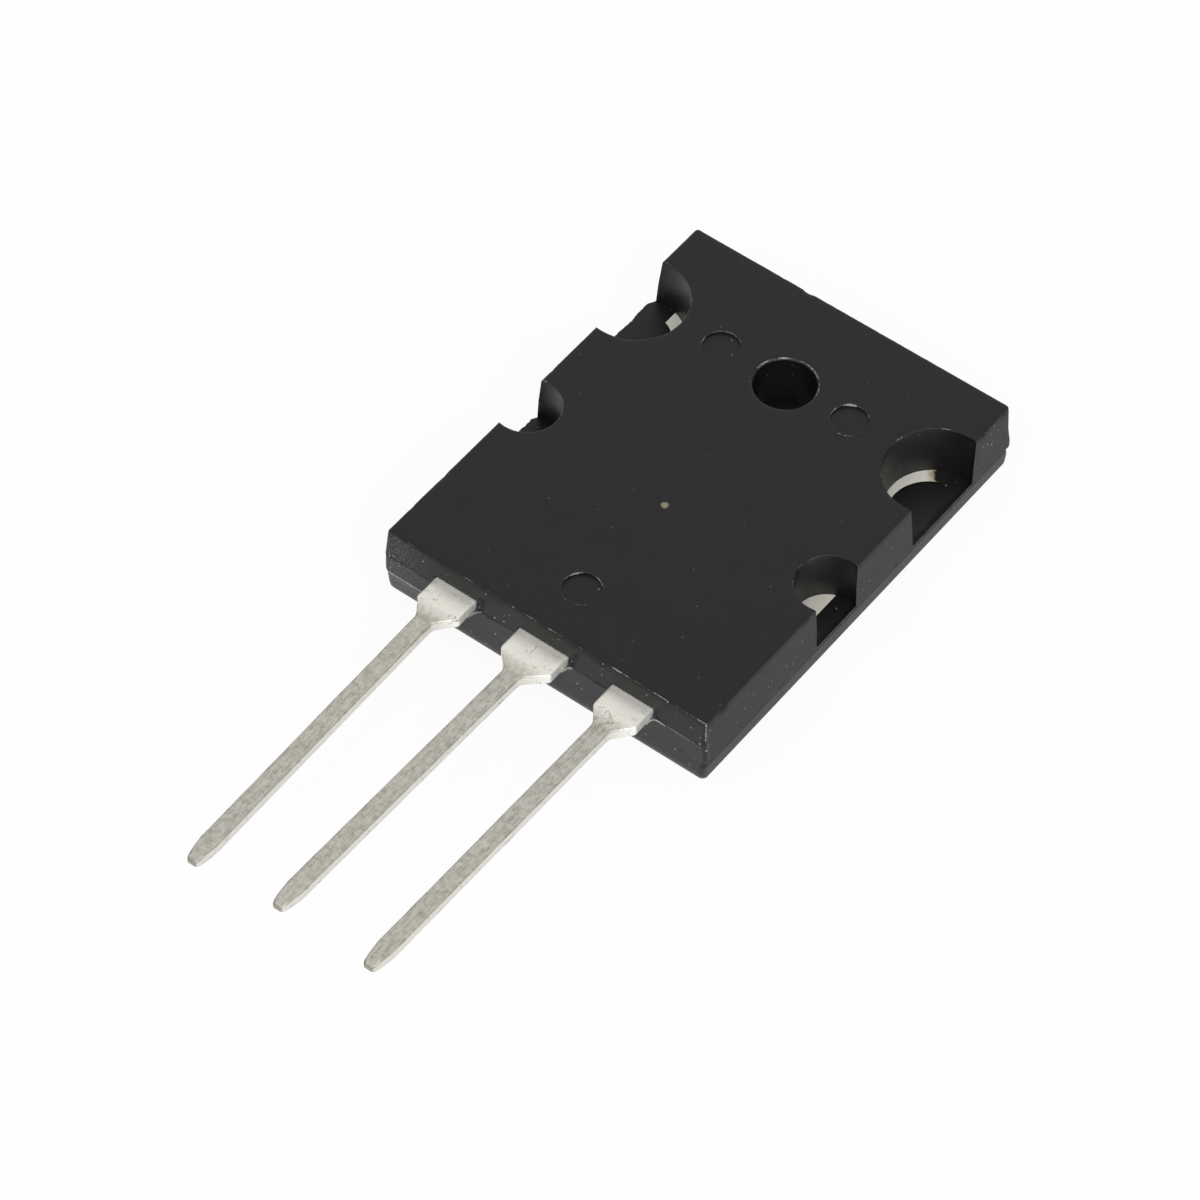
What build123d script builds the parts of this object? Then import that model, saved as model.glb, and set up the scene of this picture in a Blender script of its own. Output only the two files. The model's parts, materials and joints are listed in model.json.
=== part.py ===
from build123d import *
from math import atan, degrees
import os

# Power transistor in a flat plastic package with three in-line leads and a screw hole.
# All lengths are millimetres. The origin is the centre of the screw hole on the mounting face,
# +Z leaves the marked face, the leads run along -Y and the base lead is on the -X side.

# ---- moulded body ----
BODY_WIDTH = 20.0           # widest, just above the parting plane
BODY_LENGTH = 26.0
BODY_HEIGHT = 4.8
HOLE_TO_END = 6.0           # screw hole's axis to the end away from the leads
TOP_DRAFT = 0.15            # inset of the top face on every side
PARTING_STEP = 0.03         # the lower mould half is this much smaller on every side
BAND_DRAFT = 0.07           # inset from the parting plane down to the ledge
LEDGE_Z = 1.65
LEDGE_STEP = 0.03
FOOT_DRAFT = 0.15           # inset from the ledge down to the mounting face
FOOT_RAKE = 0.2             # more of it on the lead side, so the mould lets go of the leads
UPPER_CORNER_R = 0.25
LOWER_CORNER_R = 0.3
TOP_EDGE_R = 0.12
BOTTOM_EDGE_R = 0.12

# ---- screw hole ----
HOLE_BORE = 3.3
HOLE_LEAD_IN = 0.1
HOLE_SLEEVE = 0.75          # plastic between the screw and the header

# ---- side notches: centre set in from the side, radius at the top and at the floor ----
BIG_NOTCH_SET_IN = 0.55
BIG_NOTCH_TOP_R = 2.85
BIG_NOTCH_FLOOR_R = 2.62
SMALL_NOTCH_SET_IN = 0.6
SMALL_NOTCH_TOP_R = 1.8
SMALL_NOTCH_FLOOR_R = 1.73
SMALL_NOTCH_DOWN = 9.1      # from the screw hole towards the leads

# ---- ejector marks in the top face ----
EJECTOR_R = 1.0
EJECTOR_DEPTH = 0.12
EJECTOR_SIDE_X = 4.0        # the pair beside the screw hole
EJECTOR_LOW_UP = 3.15       # the one above the leads, from the lead wall

# ---- heat sink (header plate) ----
HEADER_THICKNESS = 1.8
HEADER_SIDE_MARGIN = 1.25   # from the body's sides
HEADER_END_MARGIN = 1.3     # from the body's end by the screw hole
HEADER_LEAD_MARGIN = 2.0    # from the body's lead wall
HEADER_LIP = 0.7            # thickness of the coined lip that locks it in the plastic
HEADER_LIP_OUT = 0.3
HEADER_CHAMFER = 1.2
HEADER_NOTCH_R = 2.2
HEADER_NOTCH_DOWN = 0.4

# ---- lead frame ----
LEAD_PITCH = 5.45
LEAD_WIDTH = 1.0
LEAD_THICKNESS = 0.6
LEAD_COVER = 1.15           # plastic over the leads
LEAD_LENGTH = 20.3          # from the body's wall to the tips
LEAD_BEND_DOWN = 2.6        # where a lead starts to leave the plane, from the wall
OUTER_SHOULDER_WIDTH = 2.55
CENTRE_SHOULDER_WIDTH = 3.05
SHOULDER_LENGTH = 1.35
SHOULDER_TAPER = 1.0
SHOULDER_CORNER_R = 0.3
SHOULDER_NECK_R = 0.6
TIP_WIDTH = 0.45
TIP_LENGTH = 1.5
TIP_SIDE_R = 1.2
TIP_COIN = 0.16             # thinning of each face at the tip
TIP_COIN_LENGTH = 0.9
# A loose part's leads are never quite parallel: how far each tip is above the lead plane.
BASE_TIP_LIFT = -0.45
COLLECTOR_TIP_LIFT = 0.4
EMITTER_TIP_LIFT = 0.3

# ---- inside ends of the leads ----
NECK_LENGTH = 1.5           # shoulder's width goes on this far behind the wall
POST_WIDTH = 4.4
POST_LENGTH = 2.8
POST_CORNER_R = 0.3
ANCHOR_HOLE = 1.0           # the plastic goes through it and locks the lead
FOOT_LENGTH = 2.6           # collector's foot on the header
FOOT_JOGGLE = 1.1           # length of its slope from the header up to the lead plane
FOOT_LEAD_GAP = 3.0         # foot's lead end, behind the body's wall
RIVET_D = 1.4
RIVET_HEAD_D = 2.0
RIVET_HEAD_HEIGHT = 0.3

# ---- chip and wires ----
CHIP_SIZE = 5.6
CHIP_THICKNESS = 0.3
CHIP_UP = 10.0              # chip's centre, from the lead wall
SOLDER_THICKNESS = 0.1
SOLDER_MARGIN = 0.15
BASE_WIRE_D = 0.38
EMITTER_WIRE_D = 0.5
BASE_PAD = (-1.8, -1.9)     # on the chip, from its centre
EMITTER_PADS = ((0.5, -0.6), (1.9, -0.6))
BASE_WIRE_POST = (0.6, 1.2)             # on its post, from the lead's centre and the post's wall end
EMITTER_WIRE_POSTS = ((-1.0, 1.2), (0.6, 1.2))
WIRE_FOOT = 0.8
WIRE_PRESS = 0.35           # share of the wire's radius that the bond squashes away
WIRE_TOP_COVER = 0.48       # plastic over the top of the loops
WIRE_FALL = 2.0             # a loop's run down to its post, for each unit of height

END_Y = HOLE_TO_END
WALL_Y = HOLE_TO_END - BODY_LENGTH
CHIP_Y = WALL_Y + CHIP_UP
TIP_Y = WALL_Y - LEAD_LENGTH
LEAD_TOP = BODY_HEIGHT - LEAD_COVER
LEAD_Z = LEAD_TOP - LEAD_THICKNESS          # the mould's parting plane
SOLDER_TOP = HEADER_THICKNESS + SOLDER_THICKNESS
CHIP_TOP = SOLDER_TOP + CHIP_THICKNESS
FOOT_FRONT_Y = WALL_Y + FOOT_LEAD_GAP
POST_FRONT_Y = WALL_Y + NECK_LENGTH
STANDING = (Align.CENTER, Align.CENTER, Align.MIN)


# ---------------------------------------------------------------- moulded body
def drafted_block(z, inset, reach, draft, corner_r, rake=0.0):
    """Block from height z, up or down by reach. Its sides lean in by draft, its lead side by rake more."""
    outline = Rectangle(BODY_WIDTH - 2 * inset, BODY_LENGTH - 2 * inset)
    height = abs(reach)
    block = extrude(outline, height, taper=degrees(atan(draft / height)))
    if rake:
        lead_side = inset - BODY_LENGTH / 2
        raked = [(lead_side, 0), (lead_side + draft + rake, height), (lead_side, height)]
        block -= extrude(Plane.YZ * Polygon(*raked, align=None), BODY_WIDTH / 2, both=True)
    corners = block.edges().filter_by(Plane.XY, reverse=True)
    block = fillet(corners, corner_r)
    if reach < 0:
        block = mirror(block, about=Plane.XY)
    return Pos(0, (END_Y + WALL_Y) / 2, z) * block


def body_blank():
    """Drafted upper half, band below the parting plane and foot below the ledge."""
    upper = drafted_block(LEAD_Z, 0, BODY_HEIGHT - LEAD_Z, TOP_DRAFT, UPPER_CORNER_R)
    upper = fillet(upper.faces().sort_by(Axis.Z)[-1].edges(), TOP_EDGE_R)
    band = drafted_block(LEAD_Z, PARTING_STEP, LEDGE_Z - LEAD_Z, BAND_DRAFT, UPPER_CORNER_R)
    foot_inset = PARTING_STEP + BAND_DRAFT + LEDGE_STEP
    foot = drafted_block(LEDGE_Z, foot_inset, -LEDGE_Z, FOOT_DRAFT, LOWER_CORNER_R, FOOT_RAKE)
    foot = fillet(foot.faces().sort_by(Axis.Z)[0].edges(), BOTTOM_EDGE_R)
    return foot + band + upper


def notch_cutters():
    """Drafted round cutters of the four side notches, down to the header's top."""
    depth = BODY_HEIGHT - HEADER_THICKNESS
    rows = (
        (BIG_NOTCH_SET_IN, 0, BIG_NOTCH_FLOOR_R, BIG_NOTCH_TOP_R),
        (SMALL_NOTCH_SET_IN, SMALL_NOTCH_DOWN, SMALL_NOTCH_FLOOR_R, SMALL_NOTCH_TOP_R),
    )
    cutters = []
    for set_in, down, floor_r, top_r in rows:
        cone = Cone(floor_r, top_r, depth, align=STANDING)
        x = BODY_WIDTH / 2 - set_in
        cutters += [Pos(side * x, -down, HEADER_THICKNESS) * cone for side in (-1, 1)]
    return cutters


def ejector_marks():
    """Shallow round recesses that the mould's ejector pins leave in the top face."""
    places = ((-EJECTOR_SIDE_X, 0), (EJECTOR_SIDE_X, 0), (0, WALL_Y + EJECTOR_LOW_UP))
    return [Pos(x, y, BODY_HEIGHT) * Cylinder(EJECTOR_R, 2 * EJECTOR_DEPTH) for x, y in places]


def screw_hole():
    """Straight bore with a small rounded lead-in at the marked face."""
    bore = Cylinder(HOLE_BORE / 2, BODY_HEIGHT, align=STANDING)
    lead_in = Cone(HOLE_BORE / 2, HOLE_BORE / 2 + HOLE_LEAD_IN, HOLE_LEAD_IN, align=STANDING)
    return [bore, Pos(0, 0, BODY_HEIGHT - HOLE_LEAD_IN) * lead_in]


def moulded_body(inserts):
    """The epoxy fills everything round the inserts."""
    blank = body_blank()
    for cutter in notch_cutters() + ejector_marks() + screw_hole() + inserts:
        blank = blank - cutter
    return blank.solid()


# ------------------------------------------------------------------- heat sink
def header_plan(inset):
    """Outline of the header plate, drawn in by inset on every edge."""
    top = END_Y - HEADER_END_MARGIN - inset
    low = WALL_Y + HEADER_LEAD_MARGIN + inset
    half = BODY_WIDTH / 2 - HEADER_SIDE_MARGIN - inset
    cut = HEADER_CHAMFER
    plan = make_face(Polyline(
        (-half, low), (half, low), (half, top - cut), (half - cut, top),
        (cut - half, top), (-half, top - cut), close=True))
    notch = Circle(HEADER_NOTCH_R + inset)
    for side in (-1, 1):
        plan -= Pos(side * (BODY_WIDTH / 2 - BIG_NOTCH_SET_IN), -HEADER_NOTCH_DOWN) * notch
    return plan - Circle(HOLE_BORE / 2 + HOLE_SLEEVE + inset)


def heat_sink():
    """Plate with a coined lip round its inner face, and the rivet swaged over the foot."""
    plate = extrude(header_plan(HEADER_LIP_OUT), HEADER_THICKNESS)
    lip = extrude(header_plan(0), HEADER_LIP)
    plate += Pos(0, 0, HEADER_THICKNESS - HEADER_LIP) * lip
    foot_middle = Pos(0, FOOT_FRONT_Y + FOOT_LENGTH / 2, HEADER_THICKNESS)
    plate += foot_middle * Cylinder(RIVET_D / 2, LEAD_THICKNESS, align=STANDING)
    head = Cylinder(RIVET_HEAD_D / 2, RIVET_HEAD_HEIGHT, align=STANDING)
    plate += foot_middle * Pos(0, 0, LEAD_THICKNESS) * head
    return plate.solid()


# ----------------------------------------------------------------------- leads
def lead_outline(x, shoulder_width, inner_y):
    """Stamped outline of a lead from inner_y, behind the wall, to its spade tip."""
    half_shoulder = shoulder_width / 2
    half_lead = LEAD_WIDTH / 2
    half_tip = TIP_WIDTH / 2
    taper_y = WALL_Y - SHOULDER_LENGTH
    neck_y = taper_y - SHOULDER_TAPER
    side = [
        (half_shoulder, inner_y), (half_shoulder, taper_y), (half_lead, neck_y),
        (half_lead, TIP_Y + TIP_LENGTH), (half_tip, TIP_Y),
    ]
    radii = [SHOULDER_CORNER_R, SHOULDER_NECK_R, TIP_SIDE_R]
    right = FilletPolyline(*side, radius=radii)
    left = mirror(right, about=Plane.YZ)
    ends = [Line((-half_shoulder, inner_y), side[0]), Line((-half_tip, TIP_Y), side[-1])]
    return Pos(x, 0) * make_face([*right.edges(), *left.edges(), *[end.edge() for end in ends]])


def lead_strip(profile):
    """Side view of the bent strip, as (y, height) points, drawn out across the whole body."""
    face = Plane.YZ * make_face(Polyline(*profile, close=True))
    return extrude(face, BODY_WIDTH, both=True)


def tail_profile(inner_y, lift):
    """Flat strip from inner_y that leaves the lead plane past the shoulder and ends coined."""
    bend_y = WALL_Y - LEAD_BEND_DOWN
    coin_y = TIP_Y + TIP_COIN_LENGTH
    coin_lift = lift * (bend_y - coin_y) / (bend_y - TIP_Y)
    under = [(inner_y, LEAD_Z), (bend_y, LEAD_Z), (coin_y, LEAD_Z + coin_lift)]
    tip = [(TIP_Y, LEAD_Z + lift + TIP_COIN), (TIP_Y, LEAD_TOP + lift - TIP_COIN)]
    over = [(coin_y, LEAD_TOP + coin_lift), (bend_y, LEAD_TOP), (inner_y, LEAD_TOP)]
    return under + tip + over


def outer_lead(side, lift):
    """Base or emitter lead: its inner end is a free post for the bond wires."""
    x = side * LEAD_PITCH
    inner_y = POST_FRONT_Y + POST_LENGTH
    outline = lead_outline(x, OUTER_SHOULDER_WIDTH, POST_FRONT_Y + POST_LENGTH / 2)
    post = RectangleRounded(POST_WIDTH, POST_LENGTH, POST_CORNER_R)
    outline += Pos(x, POST_FRONT_Y + POST_LENGTH / 2) * post
    outline -= Pos(x, WALL_Y + NECK_LENGTH / 2) * Circle(ANCHOR_HOLE / 2)
    blank = extrude(outline, BODY_HEIGHT)
    return (blank & lead_strip(tail_profile(inner_y, lift))).solid()


def collector_lead(lift):
    """Centre lead: it steps down to a foot that is riveted to the header."""
    foot_y = FOOT_FRONT_Y + FOOT_LENGTH
    slope_y = FOOT_FRONT_Y - FOOT_JOGGLE
    foot_z = HEADER_THICKNESS
    outline = lead_outline(0, CENTRE_SHOULDER_WIDTH, foot_y)
    outline -= Pos(0, FOOT_FRONT_Y + FOOT_LENGTH / 2) * Circle(RIVET_D / 2)
    foot_under = [(foot_y, foot_z), (FOOT_FRONT_Y, foot_z)]
    foot_over = [(FOOT_FRONT_Y, foot_z + LEAD_THICKNESS), (foot_y, foot_z + LEAD_THICKNESS)]
    blank = extrude(outline, BODY_HEIGHT)
    profile = foot_under + tail_profile(slope_y, lift) + foot_over
    return (blank & lead_strip(profile)).solid()


# -------------------------------------------------------------- chip and wires
def transistor_chip():
    """Silicon chip on its solder."""
    chip = Box(CHIP_SIZE, CHIP_SIZE, CHIP_THICKNESS, align=STANDING)
    return (Pos(0, CHIP_Y, SOLDER_TOP) * chip).solid()


def die_attach_solder():
    """Solder layer, a little larger than the chip."""
    size = CHIP_SIZE + 2 * SOLDER_MARGIN
    layer = Box(size, size, SOLDER_THICKNESS, align=STANDING)
    return (Pos(0, CHIP_Y, HEADER_THICKNESS) * layer).solid()


def bond_wire(diameter, pad, post_x, post_y, seats):
    """Round wire that loops from a chip pad up to a post. Its two feet are squashed flat."""
    centre = diameter / 2 * (1 - WIRE_PRESS)
    start = Vector(pad[0], pad[1] + CHIP_Y, CHIP_TOP + centre)
    end = Vector(post_x, POST_FRONT_Y + post_y, LEAD_TOP + centre)
    level = Vector(end.X - start.X, end.Y - start.Y, 0)
    along = level.normalized()
    crown = BODY_HEIGHT - WIRE_TOP_COVER - diameter / 2
    rise = crown - start.Z
    fall = crown - end.Z
    points = [
        start, start + along * WIRE_FOOT,
        Vector(start.X, start.Y, crown) + along * (WIRE_FOOT + rise),
        Vector(end.X, end.Y, crown) - along * (WIRE_FOOT + WIRE_FALL * fall),
        end - along * WIRE_FOOT, end,
    ]
    section = Plane(origin=start, z_dir=along) * Circle(diameter / 2)
    wire = sweep(section, path=Polyline(*points), transition=Transition.RIGHT)
    for seat in seats:
        wire = wire - seat
    return wire.solid()


def build():
    """All pieces by node name."""
    chip = transistor_chip()
    solder = die_attach_solder()
    header = heat_sink()
    base = outer_lead(-1, BASE_TIP_LIFT)
    collector = collector_lead(COLLECTOR_TIP_LIFT)
    emitter = outer_lead(1, EMITTER_TIP_LIFT)
    pieces = {
        "heat_sink": header,
        "base_lead": base,
        "collector_lead": collector,
        "emitter_lead": emitter,
        "die_attach_solder": solder,
        "transistor_chip": chip,
    }
    x, y = BASE_WIRE_POST
    pieces["base_bond_wire"] = bond_wire(BASE_WIRE_D, BASE_PAD, x - LEAD_PITCH, y, [chip, base])
    emitter_bonds = zip(EMITTER_PADS, EMITTER_WIRE_POSTS)
    for number, (pad, (x, y)) in enumerate(emitter_bonds, start=1):
        wire = bond_wire(EMITTER_WIRE_D, pad, x + LEAD_PITCH, y, [chip, emitter])
        pieces[f"emitter_bond_wire_{number}"] = wire
    pieces["moulded_body"] = moulded_body(list(pieces.values()))
    return pieces


os.makedirs("parts", exist_ok=True)
for name, solid in build().items():
    export_step(solid, f"parts/{name}.step")
    print(name, round(solid.volume, 3))
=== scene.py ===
# %% [markdown]
# # Power transistor in a flat plastic package
# A strip of stamped copper carries a silicon chip, and black epoxy is moulded round both. Three tinned
# leads come out of one end, a screw hole goes through the other, and the copper plate under the chip shows
# on the back, where the part is screwed to a heat sink. The CAD solids come in first as a fixed frame.
# Every piece made here sits on them, in metres, and nothing in the frame is moved.

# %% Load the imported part
import bmesh
import bpy
import json
import math
import numpy as np
from functools import partial
from mathutils import Matrix, Vector, noise

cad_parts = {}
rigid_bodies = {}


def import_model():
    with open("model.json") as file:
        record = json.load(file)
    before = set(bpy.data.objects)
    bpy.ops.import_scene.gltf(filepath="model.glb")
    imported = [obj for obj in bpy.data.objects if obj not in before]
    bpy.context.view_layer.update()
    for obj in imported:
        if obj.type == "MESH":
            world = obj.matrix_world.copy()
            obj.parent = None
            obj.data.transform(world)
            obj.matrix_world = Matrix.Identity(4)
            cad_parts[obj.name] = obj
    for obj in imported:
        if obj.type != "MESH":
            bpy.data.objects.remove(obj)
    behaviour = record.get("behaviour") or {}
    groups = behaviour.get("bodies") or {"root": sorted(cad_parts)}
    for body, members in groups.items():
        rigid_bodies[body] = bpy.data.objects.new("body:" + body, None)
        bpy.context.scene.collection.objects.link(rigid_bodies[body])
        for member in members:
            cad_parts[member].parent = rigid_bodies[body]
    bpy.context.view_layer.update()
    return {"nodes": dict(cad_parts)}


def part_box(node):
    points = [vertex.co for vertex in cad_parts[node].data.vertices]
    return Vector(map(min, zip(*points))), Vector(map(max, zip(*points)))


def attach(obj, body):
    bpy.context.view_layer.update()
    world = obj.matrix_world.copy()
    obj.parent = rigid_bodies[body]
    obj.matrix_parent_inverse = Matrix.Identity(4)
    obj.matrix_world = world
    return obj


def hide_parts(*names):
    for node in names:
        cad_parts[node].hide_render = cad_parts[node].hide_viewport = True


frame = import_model()
scene = bpy.context.scene
print("nodes:", ", ".join(sorted(frame["nodes"])))

# %% [markdown]
# ## Sizes
# The part is small, so its shapes are worked out in millimetres and turned to metres only when a mesh is
# made. The outer sizes are read from the frame's own boxes. The rest are the part's named sizes.

# %% Sizes in millimetres
MM = 0.001


def node_box(name):
    """Lowest and highest corner of a CAD node, in millimetres."""
    low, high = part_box(name)
    return Vector(low) / MM, Vector(high) / MM


body_low, body_high = node_box("moulded_body")
HALF_WIDTH = body_high.x
WALL_Y = body_low.y
END_Y = body_high.y
TOP_Z = body_high.z
TIP_Y = node_box("collector_lead")[0].y
HEADER_TOP = 1.8
LEDGE_Z = 1.65
PARTING_Z = 3.05
LEAD_THICKNESS = 0.6
LEAD_PITCH = 5.45
print(f"body {2 * HALF_WIDTH:.1f} x {END_Y - WALL_Y:.1f} x {TOP_Z:.1f} mm, leads {WALL_Y - TIP_Y:.1f} mm")

# %% [markdown]
# ## Outline of the moulding
# The mould was cut with a little draft, so each level of the body has its own outline: a rounded rectangle
# with four round notches in its sides. A subdivided box or a boolean would give the shape too, but rings of
# points that match from level to level give an even mesh with control over every rim, so the worn edges and
# the flash of the real moulding can be real geometry. One half ring is worked out and the other mirrored.

# %% Points along one run
CORNER_STEPS = 8


def spread(length, fine=0.05, coarse=0.17, reach=0.3):
    """Shares of a run from 0 up to, not including, 1. They lie closer together near its two ends."""
    ends = np.arange(0, reach, fine)
    middle = np.linspace(reach, length - reach, max(2, round((length - 2 * reach) / coarse)))
    return np.concatenate([ends, middle, length - ends[::-1][:-1]]) / length


def straight(start, end, shares):
    start, end = np.array(start), np.array(end)
    return start + shares[:, None] * (end - start)


def arc(centre, radius, start, turn, shares):
    angle = start + turn * shares
    return np.array(centre) + radius * np.stack([np.cos(angle), np.sin(angle)], axis=1)


# %% One ring of the body
NOTCH_BIG = (HALF_WIDTH - 0.55, 0.0)
NOTCH_SMALL = (HALF_WIDTH - 0.6, -9.1)
BIG_R = (2.62, 2.85)
SMALL_R = (1.73, 1.8)
RUN_LENGTHS = {"front": 9.7, "side": 8.7, "small": 4.6, "between": 4.5, "big": 7.6, "far": 2.9, "rear": 9.7}
RUNS = {name: spread(length) for name, length in RUN_LENGTHS.items()}
RUNS["corner"] = np.arange(CORNER_STEPS) / CORNER_STEPS


def half_ring(inset, corner_r, small_r, big_r):
    """Right half of a ring, from the middle of the front to the middle of the rear."""
    x = HALF_WIDTH - inset
    front, rear = WALL_Y + inset, END_Y - inset
    runs = [
        straight((0, front), (x - corner_r, front), RUNS["front"]),
        arc((x - corner_r, front + corner_r), corner_r, -math.pi / 2, math.pi / 2, RUNS["corner"]),
    ]
    y = front + corner_r
    for run, notch_run, (cx, cy), radius in (
        ("side", "small", NOTCH_SMALL, small_r), ("between", "big", NOTCH_BIG, big_r),
    ):
        half = math.sqrt(radius ** 2 - (x - cx) ** 2)
        turn = math.atan2(half, x - cx)
        runs.append(straight((x, y), (x, cy - half), RUNS[run]))
        runs.append(arc((cx, cy), radius, -turn, -2 * (math.pi - turn), RUNS[notch_run]))
        y = cy + half
    runs.append(straight((x, y), (x, rear - corner_r), RUNS["far"]))
    runs.append(arc((x - corner_r, rear - corner_r), corner_r, 0, math.pi / 2, RUNS["corner"]))
    runs.append(straight((x - corner_r, rear), (0, rear), RUNS["rear"]))
    return np.concatenate(runs)


def ring(inset, corner_r, small_r=SMALL_R[0], big_r=BIG_R[0]):
    """Whole ring, counter-clockwise from the middle of the front."""
    right = half_ring(inset, corner_r, small_r, big_r)
    rear_middle = np.array([[0, END_Y - inset]])
    return np.concatenate([right, rear_middle, right[:0:-1] * (-1, 1)])


RUN_ORDER = ("front", "corner", "side", "small", "between", "big", "far", "corner", "rear")
half_notch = np.concatenate([
    (np.arange(len(RUNS[run])) > 0) & (run in ("small", "big")) for run in RUN_ORDER
])
IN_NOTCH = np.concatenate([half_notch, [False], half_notch[:0:-1]])
print("points in a ring:", len(IN_NOTCH), "of which in notches:", int(IN_NOTCH.sum()))

# %% [markdown]
# ## Skin of the moulding
# From the top edge down, the rings follow the moulding: a small rounding where the steel of the mould ends,
# the drafted wall, a hair of flash where the two mould halves meet, and a step in to the narrower foot. The
# notches stop at the plate, so below it the rings run straight past them. Bands of quads join ring to ring.

# %% Levels of the wall
TOP_EDGE_R, NOTCH_EDGE_R, FOOT_EDGE_R = 0.12, 0.07, 0.12
CORNER_R, FOOT_CORNER_R = 0.25, 0.3
TOP_DRAFT, BAND_DRAFT, FOOT_DRAFT, FOOT_RAKE = 0.15, 0.07, 0.15, 0.2
PARTING_STEP, LEDGE_STEP, LEDGE_EDGE_R = 0.03, 0.03, 0.03
RAKE_REACH = 3.0
SKIN = 0.02                     # the even skin stays this far inside the CAD solid, to leave room for flash
FILLET_ANGLES = np.radians((0, 15, 35, 55, 75, 90))
# The lower mould half sat a little towards the left and the rear. Pairs of height and inset, lowest first.
LEFT_PROFILE = (
    (0, -0.13), (0.5, -0.16), (1.2, -0.10), (LEDGE_Z, -0.05), (2.0, -0.05), (PARTING_Z, 0), (TOP_Z, 0.13),
)
REAR_PROFILE = (
    (0, -0.22), (0.7, -0.26), (1.3, -0.02), (LEDGE_Z, -0.06), (2.0, -0.07), (PARTING_Z, 0.1), (TOP_Z, 0.22),
)
RIGHT_PROFILE = ((LEDGE_Z, 0.03), (TOP_Z, 0.15))
RIGHT_FOOT = ((0, 0.28), (LEDGE_Z, 0.13))
FRONT_FOOT = ((0, 0.60), (0.02, 0.46), (0.08, 0.32), (0.2, 0.21), (0.4, 0.15), (0.8, 0.12), (LEDGE_Z, 0.10))
SIDE_REACH, MOUTH_REACH = 4.0, 0.5      # how far in from a side the points still move, and so in a notch


def notch_radii(z):
    share = (z - HEADER_TOP) / (TOP_Z - HEADER_TOP)
    return [low + (high - low) * share for low, high in (SMALL_R, BIG_R)]


def set_off(points, z, inset, profiles, groove=0.0):
    """Moves the sides of a ring from an even inset to the inset that each side's own profile has at height z.

    The move eases off away from the side, and inside a notch it only touches the mouth.
    """
    reach = np.where(IN_NOTCH, MOUTH_REACH, SIDE_REACH)
    for axis, way, profile in profiles:
        own = np.interp(z, *zip(*profile)) + groove
        outer = (way * points[:, axis]).max()
        share = np.clip(1 - (outer - way * points[:, axis]) / reach, 0, 1) ** 2
        points[:, axis] += way * (inset - own) * share
    return points


UPPER_SIDES = (0, -1, LEFT_PROFILE), (0, 1, RIGHT_PROFILE), (1, 1, REAR_PROFILE)
LOWER_SIDES = (0, -1, LEFT_PROFILE), (0, 1, RIGHT_FOOT), (1, 1, REAR_PROFILE)


def upper_level(z, inset, rounding=0.0, more=0.0, edge=0.0):
    """Ring at height z above the plate.

    Its sides are set in by inset and rounding. In the notches it has more radius and lies edge below the top.
    """
    small, big = notch_radii(z)
    corner = max(CORNER_R - (inset + rounding) / 2, 0.06)
    points = ring(SKIN + inset + rounding, corner, small + more, big + more)
    heights = np.where(IN_NOTCH, TOP_Z - edge if edge else z, z)
    return np.column_stack([set_off(points, z, inset, UPPER_SIDES), heights])


def wall_inset(z):
    return TOP_DRAFT * (z - PARTING_Z) / (TOP_Z - PARTING_Z)


upper_rows = []
for margin in (0.35, 0.12):
    upper_rows.append(upper_level(TOP_Z, wall_inset(TOP_Z), TOP_EDGE_R + margin, NOTCH_EDGE_R + margin))
for angle in FILLET_ANGLES:
    out, down = 1 - math.sin(angle), 1 - math.cos(angle)
    z = TOP_Z - TOP_EDGE_R * down
    row = upper_level(z, wall_inset(z), TOP_EDGE_R * out, NOTCH_EDGE_R * out, NOTCH_EDGE_R * down)
    upper_rows.append(row)
for z in np.linspace(TOP_Z - TOP_EDGE_R, PARTING_Z + 0.05, 9)[1:]:
    upper_rows.append(upper_level(z, wall_inset(z)))
FLASH_ROWS = len(upper_rows), len(upper_rows) + 1
for z, inset in ((PARTING_Z + 0.012, 0), (PARTING_Z - 0.004, 0), (PARTING_Z - 0.014, PARTING_STEP)):
    upper_rows.append(upper_level(z, inset))
for z in np.linspace(PARTING_Z, HEADER_TOP, 6)[1:]:
    drawn_in = BAND_DRAFT * (PARTING_Z - z) / (PARTING_Z - LEDGE_Z)
    upper_rows.append(upper_level(z, PARTING_STEP + drawn_in))
print("rings above the plate:", len(upper_rows))

# %% Levels of the foot
BAND_INSET = PARTING_STEP + BAND_DRAFT
FOOT_INSET = BAND_INSET + LEDGE_STEP
lower_rows = []                 # height, inset, rounding, groove and corner radius of each ring
for angle in FILLET_ANGLES[::-1]:
    z = LEDGE_Z + LEDGE_EDGE_R * (1 - math.cos(angle))
    lower_rows.append((z, BAND_INSET, LEDGE_EDGE_R * (1 - math.sin(angle)), 0, CORNER_R))
GROOVE_BOTTOM = LEDGE_Z - 0.3
for z, groove in ((LEDGE_Z, LEDGE_STEP), (GROOVE_BOTTOM + 0.06, LEDGE_STEP)):
    lower_rows.append((z, FOOT_INSET, 0, groove, FOOT_CORNER_R))
for z in np.linspace(GROOVE_BOTTOM, FOOT_EDGE_R, 5):
    lower_rows.append((z, FOOT_INSET + FOOT_DRAFT * (LEDGE_Z - z) / LEDGE_Z, 0, 0, FOOT_CORNER_R))
for angle in FILLET_ANGLES[::-1][1:]:
    z, rounding = FOOT_EDGE_R * (1 - math.cos(angle)), FOOT_EDGE_R * (1 - math.sin(angle))
    lower_rows.append((z, FOOT_INSET + FOOT_DRAFT, rounding, 0, FOOT_CORNER_R - rounding))
lower_rows.append((0, FOOT_INSET + FOOT_DRAFT, FOOT_EDGE_R + 0.2, 0, FOOT_CORNER_R - FOOT_EDGE_R))


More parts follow.
